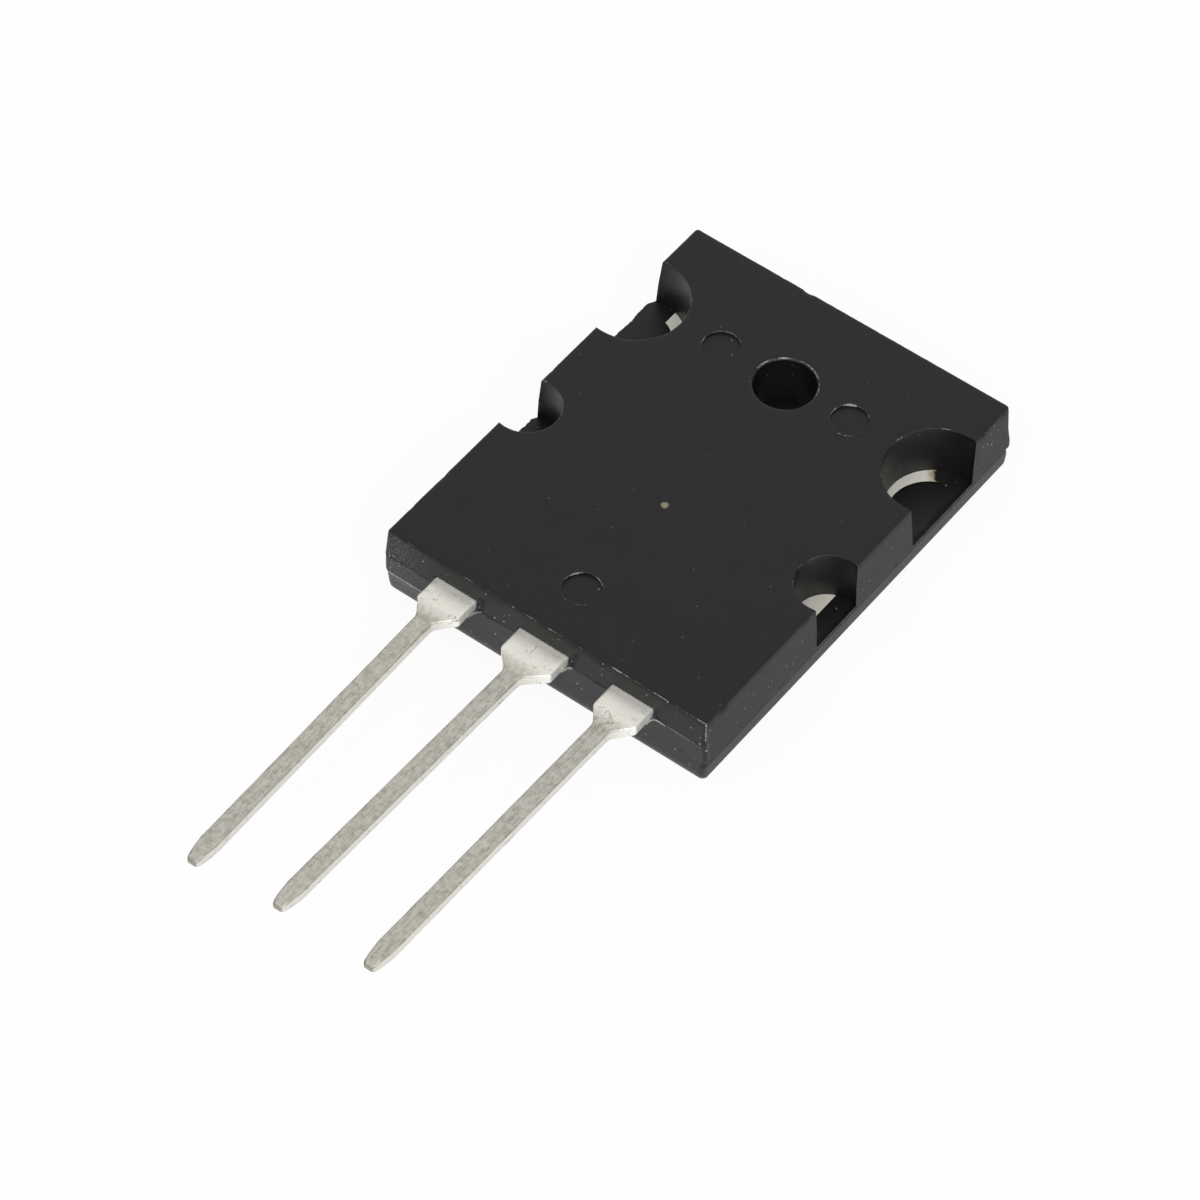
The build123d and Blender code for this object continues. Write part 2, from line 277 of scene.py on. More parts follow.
def past_notches(points):
    """Moves the points of each notch onto the straight side between the notch's two ends."""
    points = points.copy()
    count = len(points)
    starts = [i for i in range(count) if IN_NOTCH[i] and not IN_NOTCH[i - 1]]
    for start in starts:
        stop = next(i for i in range(start, count) if not IN_NOTCH[i])
        shares = (np.arange(start, stop) - start + 1) / (stop - start + 1)
        points[start:stop] = straight(points[start - 1], points[stop], shares)
    return points


FLUSH_FROM_X, FLUSH_BLEND = -7.9, 0.6


def raked(points, z, inset):
    """Moves the lead end of a ring in to the foot's own shape there, easing off along the sides.

    Left of the base lead the foot is set back under the ledge. From there on it runs on from the wall above.
    """
    share = np.clip(1 - (points[:, 1] - WALL_Y) / RAKE_REACH, 0, 1)
    flush = np.clip((points[:, 0] - FLUSH_FROM_X) / FLUSH_BLEND, 0, 1)
    set_back = FOOT_RAKE * max(0, LEDGE_Z - z) / LEDGE_Z
    own = np.interp(z, *zip(*FRONT_FOOT)) - inset
    points[:, 1] += (set_back * (1 - flush) + own * flush) * share
    return points


foot_rows = []
for z, inset, rounding, groove, corner in lower_rows:
    outline = past_notches(ring(SKIN + inset + rounding, corner))
    sides = UPPER_SIDES if inset == BAND_INSET else LOWER_SIDES
    outline = raked(set_off(outline, z, inset, sides, groove), z, inset + rounding)
    foot_rows.append(np.column_stack([outline, np.full(len(IN_NOTCH), z)]))
print("rings below the plate:", len(foot_rows))

# %% [markdown]
# ## Wear on the rims
# A moulded edge is never quite even. Loose parts rub in their tube, so the top rim has small nicks, and
# where the mould halves meet a ragged hair of plastic is left. Bump in the material would leave the outline
# clean, so the points themselves are moved, by smooth noise whose size is given in millimetres.

# %% Moving the points
def rough(point, size, seed=0.0):
    """Smooth noise from about -1 to 1 whose lumps are size millimetres across."""
    return noise.noise(Vector(point) / size + Vector((seed, seed, seed)))


def outward(points):
    """Direction out of the plastic at each point of a ring."""
    along = np.roll(points[:, :2], -1, axis=0) - np.roll(points[:, :2], 1, axis=0)
    out = np.column_stack([along[:, 1], -along[:, 0], np.zeros(len(along))])
    return out / np.linalg.norm(out, axis=1)[:, None]


def rim_loss(point):
    """How much of a rim is worn away: a fine ripple everywhere and a deeper nick here and there."""
    nick = max(0.0, rough(point, 0.9, 3.1) - 0.28)
    return 0.010 * (1 + rough(point, 0.2)) + 0.16 * nick


def flash_width(point):
    """Width of the ragged flash on the parting line."""
    return max(0.0, 0.05 * (rough(point, 1.4, 7.7) + 0.6 * rough(point, 0.16, 2.2) + 0.35))


FIRST_RIM_ROW, LEDGE_ROUND_ROWS = 2, slice(1, 5)
FLASH_REACH = 0.5
for number, angle in enumerate(FILLET_ANGLES, start=FIRST_RIM_ROW):
    row = upper_rows[number]
    out = outward(row)
    loss = np.array([rim_loss(p) for p in row]) * np.where(IN_NOTCH, 0.5, 1)
    row -= loss[:, None] * (out * math.sin(angle) + np.array([0, 0, math.cos(angle)]))
for number in FLASH_ROWS:
    row = upper_rows[number]
    at_front = np.clip(1 - (row[:, 1] - WALL_Y) / FLASH_REACH, 0, 1)
    width = np.array([flash_width(p) for p in row])
    row += (width * at_front)[:, None] * outward(row)
for row in foot_rows[LEDGE_ROUND_ROWS]:
    row += 0.012 * np.array([rough(p, 0.25, 5.0) for p in row])[:, None] * outward(row)
print("widest flash:", round(max(flash_width(p) for p in upper_rows[FLASH_ROWS[0]]), 3), "mm")

# %% [markdown]
# ## From rings to a mesh
# A small builder keeps the list of points and faces and joins rings of equal length with quads. A flat
# region that has holes is left open and filled with triangles later, which Blender's own fill does well.

# %% Mesh builder
def placed(name, data):
    """Puts a new object with this data into the scene."""
    made = bpy.data.objects.new(name, data)
    scene.collection.objects.link(made)
    return made


class Skin:
    """Points and faces of one closed mesh, in millimetres."""

    def __init__(self):
        self.points = []
        self.faces = []

    def add(self, points):
        first = len(self.points)
        self.points.extend(tuple(map(float, p)) for p in points)
        return list(range(first, len(self.points)))

    def face(self, corners):
        kept = [c for i, c in enumerate(corners) if c != corners[i - 1]]
        if len(kept) > 2:
            self.faces.append(kept)

    def bands(self, rings, way=1):
        """Quads from each ring to the next. A way of -1 starts every quad on the later ring."""
        for pair in zip(rings, rings[1:]):
            upper, lower = pair[::way]
            for i in range(len(upper)):
                self.face([upper[i - 1], lower[i - 1], lower[i], upper[i]])

    def object(self, name):
        """Blender object in metres, with flat regions between open edges left for fill()."""
        mesh = bpy.data.meshes.new(name)
        mesh.from_pydata([Vector(p) * MM for p in self.points], [], self.faces)
        return placed(name, mesh)


HOLE_POINTS = 96


def disc_ring(radius, z, centre=(0.0, 0.0), count=HOLE_POINTS, ripple=None):
    """Ring of points round a hole, with an optional ripple in its height."""
    angle = np.arange(count) / count * 2 * math.pi
    rise = np.zeros(count) if ripple is None else np.array([ripple(a) for a in angle])
    x, y = centre[0] + radius * np.cos(angle), centre[1] + radius * np.sin(angle)
    return np.column_stack([x, y, z + rise])


# %% Screw hole and ejector marks
HOLE_R, HOLE_LEAD_IN = 1.65, 0.1
EJECTOR_R, EJECTOR_DEPTH, EJECTOR_BURR = 1.0, 0.12, 0.02
MARK_POINTS = 72
EJECTOR_CENTRES = ((-4.0, 0.0), (4.0, 0.0), (0.0, WALL_Y + 3.15))

body = Skin()
rows = [body.add(row) for row in upper_rows]
body.bands(rows)

top_loops = [rows[0]]
hole_levels = (                 # how much wider than the hole, and the height
    (0.3, TOP_Z), (0.14, TOP_Z), (0.09, TOP_Z - 0.012), (0.04, TOP_Z - 0.04), (0, TOP_Z - HOLE_LEAD_IN),
    (0, 3.2), (0, 1.6), (0, 0.04), (0.03, 0), (0.2, 0),
)
WORN_HOLE_RINGS = (2, 3)
hole_rows = []
for number, (wider, z) in enumerate(hole_levels):
    row = disc_ring(HOLE_R + wider, z)
    if number in WORN_HOLE_RINGS:
        row[:, 2] -= [0.5 * rim_loss(p) for p in row]
    hole_rows.append(body.add(row))
body.bands(hole_rows, -1)
top_loops.append(hole_rows[0])

for centre in EJECTOR_CENTRES:
    def burr(angle, centre=centre):
        at = (centre[0] + math.cos(angle), centre[1] + math.sin(angle), 9)
        return max(0.0, 0.5 + rough(at, 0.35, 1.3) + 0.8 * rough(at, 0.1, 4.4)) * EJECTOR_BURR

    levels = (
        (0.2, 0, None), (0.07, 0, None), (0.03, 0, burr), (0, 0, burr),
        (-0.02, -EJECTOR_DEPTH, None), (-0.07, -EJECTOR_DEPTH - 0.01, None), (-0.3, -EJECTOR_DEPTH, None),
    )
    mark = [
        body.add(disc_ring(EJECTOR_R + wider, TOP_Z + rise, centre, MARK_POINTS, ripple))
        for wider, rise, ripple in levels
    ]
    body.bands(mark, -1)
    top_loops.append(mark[0])
    body.faces.append(mark[-1])
print("hole and marks:", len(top_loops) - 1)

# %% [markdown]
# ## Notch floors, foot and back
# Each notch ends on a level floor at the height of the copper plate. Its points run in rows from the round
# wall out to the side, and on the left a ragged lip of flash was left there. Below it the foot goes on to the
# back, which closes the mesh.

# %% Floors and foot
FLOOR_ROWS = 14
MOUTHS = (NOTCH_BIG[1], 2.6), (NOTCH_SMALL[1], 1.65)      # middle and half width of each left notch's mouth
arc_row = upper_rows[-1]
chord_row = past_notches(arc_row)


def lip_width(point):
    """Width of the ragged lip of flash where the mould halves met on the outer side of a left notch."""
    if point[0] > 0:
        return 0.0
    mouth = min(abs(point[1] - middle) / half for middle, half in MOUTHS)
    width = max(0.0, 0.2 + 0.08 * rough(point, 0.7, 2.0) + 0.05 * rough(point, 0.2, 5.0))
    return width * min(1.0, 6 * max(0.0, 1 - mouth))


chord_row[:, 0] -= np.where(IN_NOTCH, [lip_width(p) for p in chord_row], 0)
arc_ids = rows[-1]
chord_ids = np.array(arc_ids)
chord_ids[IN_NOTCH] = body.add(chord_row[IN_NOTCH])
floor_rows = [np.array(arc_ids)]
for step in range(1, FLOOR_ROWS):
    share = step / FLOOR_ROWS
    ids = np.array(arc_ids)
    ids[IN_NOTCH] = body.add((arc_row * (1 - share) + chord_row * share)[IN_NOTCH])
    floor_rows.append(ids)
floor_rows.append(chord_ids)
touches_notch = IN_NOTCH | np.roll(IN_NOTCH, 1)
for upper, lower in zip(floor_rows, floor_rows[1:]):
    for i in np.flatnonzero(touches_notch):
        body.face([int(n) for n in (upper[i - 1], lower[i - 1], lower[i], upper[i])])

below = [[int(n) for n in chord_ids]] + [body.add(row) for row in foot_rows]
body.bands(below)
bottom_loops = [below[-1], hole_rows[-1]]
print("points:", len(body.points), "faces:", len(body.faces))


# %% Close the flat regions
def fill(bm, loops):
    """Triangles across a flat region. The first loop is its edge and the others are holes in it."""
    bm.verts.ensure_lookup_table()
    edges = []
    for loop in loops:
        for i, number in enumerate(loop):
            pair = bm.verts[loop[i - 1]], bm.verts[number]
            edges.append(bm.edges.get(pair) or bm.edges.new(pair))
    bmesh.ops.triangle_fill(bm, use_beauty=True, use_dissolve=False, edges=edges)


def close_and_smooth(piece, fills=(), sharp=30.0):
    """Fills the open regions, turns the faces outward and keeps corners over sharp degrees crisp."""
    bm = bmesh.new()
    bm.from_mesh(piece.data)
    for loops in fills:
        fill(bm, loops)
    bmesh.ops.recalc_face_normals(bm, faces=bm.faces)
    open_edges = sum(len(edge.link_faces) != 2 for edge in bm.edges)
    bm.to_mesh(piece.data)
    bm.free()
    piece.data.shade_smooth()
    piece.data.set_sharp_from_angle(angle=math.radians(sharp))
    print(piece.name, "faces:", len(piece.data.polygons), "edges without two faces:", open_edges)


epoxy_body = body.object("epoxy_body")
close_and_smooth(epoxy_body, (top_loops, bottom_loops))

# %% [markdown]
# ## Leads
# Each lead is stamped from 0.6 mm copper strip, so it is a flat bar whose outline changes along its length:
# a wide shoulder at the wall that stops it sliding into its board hole, a long narrow tail, and a coined,
# blunt tip. Extruding the outline would leave knife edges. Here a rounded cross-section is set at many
# stations along the lead and joined up, so edges, tip and the small unevenness of a trimmed lead are real.

# %% Outline of a lead
LEAD_TOP = PARTING_Z + LEAD_THICKNESS
LEAD_HALF, TIP_HALF, OUTER_HALF, CENTRE_HALF = 0.5, 0.27, 1.275, 1.525
SHOULDER_END_Y, TAIL_START_Y = WALL_Y - 1.35, WALL_Y - 2.35
BEND_Y = WALL_Y - 2.6
COIN_Y, COIN_DEPTH = TIP_Y + 0.55, 0.13
STATION_GAP = 0.11


def rounded(corners):
    """Points along a line of (y, half width, corner radius), with its corners rounded."""
    line = [np.array(corners[0][:2])]
    for before, (y, half, radius), after in zip(corners, corners[1:], corners[2:]):
        at = np.array((y, half))
        if radius == 0:
            line.append(at)
            continue
        to_before, to_after = (np.array(other[:2]) - at for other in (before, after))
        to_before, to_after = to_before / np.linalg.norm(to_before), to_after / np.linalg.norm(to_after)
        half_angle = math.acos(float(np.clip(to_before @ to_after, -1, 1))) / 2
        middle = to_before + to_after
        centre = at + middle / np.linalg.norm(middle) * radius / math.sin(half_angle)
        reach = radius / math.tan(half_angle)
        for share in np.linspace(0, 1, 7):
            spoke = (at + to_before * reach - centre) * (1 - share) + (at + to_after * reach - centre) * share
            line.append(centre + spoke / np.linalg.norm(spoke) * radius)
    line.append(np.array(corners[-1][:2]))
    return line


def stations(corners):
    """The rounded outline with long runs divided, as (y, half width) pairs from the inner end to the tip."""
    line = rounded(corners)
    divided = [line[0]]
    for start, end in zip(line, line[1:]):
        parts = max(1, math.ceil(abs(end[0] - start[0]) / STATION_GAP))
        divided += [start + (end - start) * n / parts for n in range(1, parts + 1)]
    return divided


def tail_corners(shoulder_half):
    return [
        (SHOULDER_END_Y, shoulder_half, 0.3), (TAIL_START_Y, LEAD_HALF, 0.6),
        (TIP_Y + 1.35, LEAD_HALF, 1.4), (TIP_Y + 0.2, 0.35, 0.3), (TIP_Y, TIP_HALF, 0),
    ]


POST_HALF, POST_FRONT_Y, POST_INNER_Y = 2.2, WALL_Y + 1.5, WALL_Y + 4.3
FOOT_INNER_Y, FOOT_FRONT_Y, SLOPE_END_Y = WALL_Y + 5.6, WALL_Y + 3.0, WALL_Y + 1.9
outer_outline = stations([
    (POST_INNER_Y, POST_HALF - 0.3, 0), (POST_INNER_Y - 0.3, POST_HALF, 0), (POST_FRONT_Y, POST_HALF, 0.3),
    (POST_FRONT_Y, OUTER_HALF, 0), *tail_corners(OUTER_HALF),
])
centre_outline = stations([(FOOT_INNER_Y, CENTRE_HALF, 0), *tail_corners(CENTRE_HALF)])
print("stations:", len(outer_outline), "and", len(centre_outline))

# %% Height, bend and thickness along a lead
TAIL_SPRING = -0.07


def lead_level(y, lift, has_foot):
    """Middle height of the strip at y: level to the bend, then straight to its lifted tip."""
    middle = PARTING_Z + LEAD_THICKNESS / 2
    if has_foot and y > SLOPE_END_Y:
        foot = HEADER_TOP + LEAD_THICKNESS / 2
        return middle + (foot - middle) * min(1.0, (y - SLOPE_END_Y) / (FOOT_FRONT_Y - SLOPE_END_Y))
    past = max(0.0, BEND_Y - y) / (BEND_Y - TIP_Y)
    return middle + lift * past


def lead_bend(y, tip_bend):
    """How far to one side the strip has sprung at y: a little after the shoulder, then evenly to its tip."""
    past = min(1.0, max(0.0, SHOULDER_END_Y - y) / (SHOULDER_END_Y - TAIL_START_Y))
    along = max(0.0, TAIL_START_Y - y) / (TAIL_START_Y - TIP_Y)
    return TAIL_SPRING * past + (tip_bend - TAIL_SPRING) * along


def lead_thickness(y):
    return LEAD_THICKNESS - 2 * COIN_DEPTH * max(0.0, COIN_Y - y) / (COIN_Y - TIP_Y)


# %% Cross-section
ROLLED_EDGE_R, BURR_EDGE_R = 0.12, 0.04
TOP_SHARES = np.linspace(-1, 1, 13)
UNDER_SHARES = np.linspace(1, -1, 7)


def section(half, thick):
    """Points and outward directions of the strip's cross-section, from its upper left round to the right."""
    upper_r, lower_r = min(ROLLED_EDGE_R, half / 2, thick / 2.2), min(BURR_EDGE_R, half / 2)
    points, out = [], []
    for up, shares, inner_r, corners in (
        (1, TOP_SHARES, upper_r, ((1, 1, upper_r, (30, 60, 90)), (1, -1, lower_r, (90, 135)))),
        (-1, UNDER_SHARES, lower_r, ((-1, -1, lower_r, (135, 90)), (-1, 1, upper_r, (90, 60, 30)))),
    ):
        points += [(share * (half - inner_r), up * thick / 2) for share in shares]
        out += [(0, up)] * len(shares)
        for side, level, radius, angles in corners:
            for angle in np.radians(angles):
                way = (side * math.sin(angle), math.cos(angle))
                middle = (side * (half - radius), level * (thick / 2 - radius))
                points.append((middle[0] + radius * way[0], middle[1] + radius * way[1]))
                out.append(way)
    return points, out


# %% One lead
OUTSIDE_Y = WALL_Y + 0.05
TIP_HALF_LOSS, TIP_THICK_LOSS = 0.05, 0.08


def surface_shift(point, dents):
    """How far a point of the lead's skin stands out: slow waves, a fine ripple and a few pressed marks."""
    x, y, z = point
    shift = 0.010 * rough((x * 1.4, y * 0.5, z), 0.5, 1.0) + 0.005 * rough(point, 0.17, 6.0)
    for dent_x, dent_y, reach, depth in dents:
        apart = ((x - dent_x) ** 2 + (y - dent_y) ** 2) / reach ** 2
        if apart < 4:
            shift -= depth * math.exp(-apart)
    return shift


def make_lead(name, x_middle, outline, lift, bend, dents, has_foot=False):
    lead = Skin()
    rows = []
    last = len(outline) - 1
    for number, (y, half) in enumerate(outline):
        thick = lead_thickness(y)
        if number == last:
            half, thick = half - TIP_HALF_LOSS, thick - TIP_THICK_LOSS
        level = lead_level(y, lift, has_foot)
        middle = x_middle + lead_bend(y, bend)
        row = []
        for (across, high), (out_x, out_z) in zip(*section(half, thick)):
            point = np.array((middle + across, y, level + high))
            shift = surface_shift(point, dents) if y < OUTSIDE_Y else 0
            row.append(point + shift * np.array((out_x, 0, out_z)))
        rows.append(lead.add(row))
    lead.bands(rows, -1)
    lead.faces += [rows[0], rows[-1]]
    made = lead.object(name)
    close_and_smooth(made, sharp=42)
    return made


# Each lead's middle, outline, lift and sideways bend of the tip, and dents: their place, reach and depth.
LEADS = {
    "base_lead": (
        -LEAD_PITCH, outer_outline, -0.45, 0.03, [(-6.45, -20.75, 0.16, 0.03), (-6.2, -21.1, 0.12, 0.02)],
    ),
    "collector_lead": (0, centre_outline, 0.4, -0.13, [(0.35, -21.3, 0.14, 0.02), (-0.1, -20.9, 0.3, 0.012)]),
    "emitter_lead": (LEAD_PITCH, outer_outline, 0.3, -0.09, [(6.4, -20.8, 0.14, 0.02)]),
}
lead_pieces = []
for node_name, lead_sizes in LEADS.items():
    piece = make_lead(node_name + "_strip", *lead_sizes, has_foot=node_name == "collector_lead")
    lead_pieces.append(piece)
    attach(piece, "root")
    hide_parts(node_name)

# %% [markdown]
# ## Room for the inserts
# The plastic was moulded round the copper plate, the leads, the chip and its wires, so it is hollow where
# they are. Cutting the real CAD inserts out with an exact boolean leaves the plate's metal showing in the
# notches and on the back, just where it does on the part. The plate is cut a hair deeper, because two level
# surfaces at the same height would flicker. Round each lead the plastic has shrunk back from the metal, and
# a shallow slot a little larger than the lead leaves that thin dark line.

# %% Slots round the leads
LEAD_GAP, GAP_DEPTH, PLATE_CLEARANCE = 0.05, 0.5, 0.015


def solid_cutter(name, make, middle, scale, **settings):
    """Cube or ball of this scale, made by one of bmesh's operators and not linked to the scene."""
    bm = bmesh.new()
    make(bm, matrix=Matrix.LocRotScale(Vector(middle) * MM, None, Vector(scale) * MM), **settings)
    mesh = bpy.data.meshes.new(name)
    bm.to_mesh(mesh)
    bm.free()
    return bpy.data.objects.new(name, mesh)


def slot_cutter(x_middle, half):
    """Box round a lead's section, from outside the wall to a little way behind it."""
    low = Vector((x_middle - half - LEAD_GAP, WALL_Y - 1, PARTING_Z - LEAD_GAP))
    high = Vector((x_middle + half + LEAD_GAP, WALL_Y + GAP_DEPTH, LEAD_TOP + LEAD_GAP))
    return solid_cutter("slot", bmesh.ops.create_cube, (low + high) / 2, high - low, size=1.0)


def sink_mark(x, z, size):
    """Small ball set in the lead wall, which leaves a shallow hollow where air was trapped."""
    middle, radii = (x, WALL_Y - 0.02, z), (size, size * 0.75, size * 0.6)
    return solid_cutter("sink_mark", bmesh.ops.create_icosphere, middle, radii, subdivisions=3, radius=1.0)


# %% Cut the inserts out
def node_copy(name, lift=0.0):
    """Separate copy of a CAD node, raised by lift millimetres."""
    copy = frame["nodes"][name].copy()
    copy.data = copy.data.copy()
    copy.data.transform(Matrix.Translation((0, 0, lift * MM)))
    return copy


def cut_out(piece, cutters):
    """Subtracts the cutters, which are used up, from a piece."""
    group = bpy.data.collections.new("cutters")
    for cutter in cutters:
        group.objects.link(cutter)
    cut = piece.modifiers.new("inserts", "BOOLEAN")
    cut.operation, cut.solver, cut.operand_type, cut.collection = "DIFFERENCE", "EXACT", "COLLECTION", group
    result = bpy.data.meshes.new_from_object(piece.evaluated_get(bpy.context.evaluated_depsgraph_get()))
    piece.modifiers.remove(cut)
    piece.data = result
    for cutter in list(group.objects):
        bpy.data.objects.remove(cutter)
    bpy.data.collections.remove(group)
    print(piece.name, "after the cut:", len(result.polygons), "faces")


cutters = [node_copy(name) for name in sorted(frame["nodes"]) if name != "moulded_body"]
cutters.append(node_copy("heat_sink", PLATE_CLEARANCE))
for x_middle, half in ((-LEAD_PITCH, OUTER_HALF), (0.0, CENTRE_HALF), (LEAD_PITCH, OUTER_HALF)):
    cutters.append(slot_cutter(x_middle, half))
cutters.append(sink_mark(OUTER_HALF - LEAD_PITCH + 0.3, LEAD_TOP + 0.22, 0.3))
cutters.append(sink_mark(CENTRE_HALF + 0.36, LEAD_TOP + 0.4, 0.26))
cut_out(epoxy_body, cutters)
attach(epoxy_body, "root")
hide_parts("moulded_body")

# %% [markdown]
# ## Flash beside the leads
# The mould closes on the leads, and a little plastic creeps out beside them. It is too thin to trim, so it
# stays as pale curls between lead and wall. Each is a lens-shaped ribbon that follows a smooth run of points.

# %% Ribbons of flash
def smooth_run(route, steps=8):
    """Points on a smooth line through those of the route."""
    knots = [np.array(p, float) for p in (route[0], *route, route[-1])]
    line = []
    for before, start, end, after in zip(knots, knots[1:], knots[2:], knots[3:]):
        for t in np.linspace(0, 1, steps, endpoint=False):
            line.append(0.5 * (
                2 * start + (end - before) * t + (2 * before - 5 * start + 4 * end - after) * t ** 2
                + (3 * start - before - 3 * end + after) * t ** 3
            ))
    return line + [knots[-1]]


FLASH_THICKNESS = 0.03
LENS = ((-1, 0), (-0.4, 0.5), (0.4, 0.5), (1, 0), (0.4, -0.5), (-0.4, -0.5))


def add_ribbon(skin, route, width):
    """Adds a closed ribbon to a skin: its width lies level and its thickness stands up."""
    line = smooth_run(route)
    rows = []
    for number, point in enumerate(line):
        way = line[min(number + 1, len(line) - 1)] - line[max(number - 1, 0)]
        across = np.array((-way[1], way[0], 0)) / max(math.hypot(way[0], way[1]), 1e-6)
        half = width / 2 * (1 + 0.5 * rough(point, 0.15, 3.0))
        up = np.array((0, 0, FLASH_THICKNESS))
        rows.append(skin.add([point + across * half * a + up * b for a, b in LENS]))
    skin.bands(rows)
    skin.faces += [rows[0], rows[-1]]


# The side of the lead that each curl starts from, its width, and its points: how far out from that side and
# from the wall, and how high.
FLASH_RUNS = (
    (OUTER_HALF - LEAD_PITCH, 0.07, ((-0.03, -0.95, 3.2), (0.06, -0.5, 3.12), (0.2, 0.04, 3.05))),
    (OUTER_HALF - LEAD_PITCH, 0.06, ((-0.03, -0.7, 3.3), (0.17, -0.35, 3.3), (0.38, 0.04, 3.15))),
    (CENTRE_HALF, 0.16, ((-0.03, -0.5, 3.1), (0.1, -0.2, 3.14), (0.3, 0.04, 3.1))),
    (
        LEAD_PITCH + OUTER_HALF, 0.1,
        ((-0.03, -0.45, 2.98), (0.06, -0.2, 3.1), (0.25, -0.03, 3.12), (0.8, 0.03, 3.05)),
    ),
)
flash_skin = Skin()
for side, width, route in FLASH_RUNS:
    add_ribbon(flash_skin, [(side + x, WALL_Y + y, z) for x, y, z in route], width)
lead_flash = flash_skin.object("lead_flash")
close_and_smooth(lead_flash)
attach(lead_flash, "root")

# %% [markdown]
# ## Helpers for the finishes
# Colours are written as the hex values a designer would pick on screen, and Blender's shaders want them
# linear, so one function converts them. Patterns are sized in real millimetres: a noise texture repeats
# about once per unit divided by its scale, so the scale is one over the size in metres. A map range turns
# one range of values into another. Its sockets are the value, the range it comes from and the one it goes to.

# %% Colour, scale and node helpers
def colour(hex_value):
    """Linear RGBA from an sRGB hex value such as "c0ffee"."""
    parts = [int(hex_value[i:i + 2], 16) / 255 for i in (0, 2, 4)]
    return [c / 12.92 if c <= 0.04045 else ((c + 0.055) / 1.055) ** 2.4 for c in parts] + [1.0]


def per_mm(size):
    """Texture scale for a pattern whose features are size millimetres across."""
    return 1 / (size * MM)


def add_node(tree, kind, inputs=(), **settings):
    """Adds one shader node, sets its properties, and gives its sockets values, sockets or other nodes.

    A dictionary names the sockets and a tuple fills them in their own order. Of another node it takes the
    first output that is in use.
    """
    made = tree.nodes.new("ShaderNode" + kind)
    for name, value in settings.items():
        setattr(made, name, value)
    for socket, value in inputs.items() if isinstance(inputs, dict) else enumerate(inputs):
        if isinstance(value, bpy.types.Node):
            value = next(output for output in value.outputs if output.enabled)
        if isinstance(value, bpy.types.NodeSocket):
            tree.links.new(value, made.inputs[socket])
        else:
            made.inputs[socket].default_value = value
    return made


def new_nodes(owner):
    """Clears the nodes of a material or a world, and gives back add_node for its tree."""
    owner.use_nodes = True
    owner.node_tree.nodes.clear()
    return partial(add_node, owner.node_tree)


def new_material(name):
    """Material without nodes, add_node for its tree, and the place on the object for its patterns."""
    material = bpy.data.materials.new(name)
    node = new_nodes(material)
    return material, node, node("TexCoord").outputs["Object"]


def laid_over(node, tone, layers):
    """Colour that is left when each layer, an amount and its colour, is laid over a tone in turn."""
    for amount, over in layers:
        tone = node("Mix", {"Factor": amount, "A": tone, "B": over}, data_type="RGBA")
    return tone


def finish(node, relief, strength, depth, skin):
    """Ends a material: relief makes bumps of depth mm, and skin holds the shader's other sockets."""
    bump = node("Bump", {"Strength": strength, "Distance": depth * MM, "Height": relief})
    shader = node("BsdfPrincipled", {"Normal": bump, **skin})
    node("OutputMaterial", {"Surface": shader})


def grained(name, light, dark, size, roughness, metallic=1.0, uneven=0.2, relief=0.2, stretch=(1, 1, 1)):
    """Material whose colour, roughness and relief follow one noise of size mm, drawn out by stretch."""
    material, node, place = new_material(name)
    drawn = node("Mapping", {"Vector": place, "Scale": stretch})
    grains = node("TexNoise", {"Vector": drawn, "Scale": per_mm(size), "Detail": 3.0})
    tone = node("Mix", {"Factor": grains, "A": colour(light), "B": colour(dark)}, data_type="RGBA")
    matt = node("MapRange", (grains, 0.0, 1.0, roughness * (1 - uneven), roughness * (1 + uneven)))
    finish(node, grains, relief, 0.01, {"Base Color": tone, "Metallic": metallic, "Roughness": matt})
    return material


def dress(piece, material):
    """Gives a piece, or a CAD node, one material."""
    piece.data.materials.clear()
    piece.data.materials.append(material)


# %% [markdown]
# ## Mineral-filled epoxy
# The black of a power package is epoxy loaded with fused silica and a little soot, pressed hot into a spark
# eroded steel mould. It is a deep charcoal that never looks glossy: the mould's fine pits scatter the
# highlight, stray grains of filler show as pale specks, and rubbed edges turn grey where the filler is bare.
# Some rims and the ledge also get painted highlights in the same pale colour, and the groove under the
# ledge and the right side get painted shade as a lower sheen. These places are found on the mesh, point
# by point, and stored with it.

# %% Where the plastic is pale, and where light and shade are painted
WALL_REACH = 0.5                # points this close behind the lead wall count as part of it
RIM_Z = TOP_Z - 0.05


def ridge(gap, width):
    """1 on a line and less with the distance from it."""
    return math.exp(-(gap / width) ** 2)


def rim_pale_line(x, y, z):
    """Pale line along the upper rim, side by side: most at the lead end and there most at its right corner.
    """
    half_round = 0.03
    sides = (
        (y - WALL_Y - 0.2, 0.45 + 0.03 * (x + HALF_WIDTH)), (HALF_WIDTH - x - 0.2, 0.35),
        (HALF_WIDTH + x - 0.18, 0.35), (END_Y - y - 0.27, 0.45),
    )
    level = ridge(TOP_Z - z - half_round, 0.035)
    return max(strength * ridge(gap, 0.05) for gap, strength in sides) * level


def joint_wear_and_ledge_highlight(x, y, z):
    """Wear of the mould joint on the lead wall, and a painted highlight on the ledge, most at its left end.
    """
    if y > WALL_Y + WALL_REACH:
        # Away from the lead wall, a painted highlight on the ledge's rounded edge.
        return 0.3 * ridge(z - LEDGE_Z - 0.01, 0.03)
    towards_right = max(0.0, x - 7.0) / 3.0
    joint = (0.5 + 0.6 * towards_right) * ridge(z - PARTING_Z, 0.035)
    # Painted highlight on the ledge's rounded edge, strong at the left end of the lead wall.
    ledge = (2.0 if x < -7.5 else 0) * ridge(z - LEDGE_Z - 0.01, 0.03)
    crumbs = towards_right * ridge(z - PARTING_Z + 0.15, 0.3) * max(0.0, rough((x, y, z), 0.12, 4.0))
    return max(joint, ledge, crumbs)


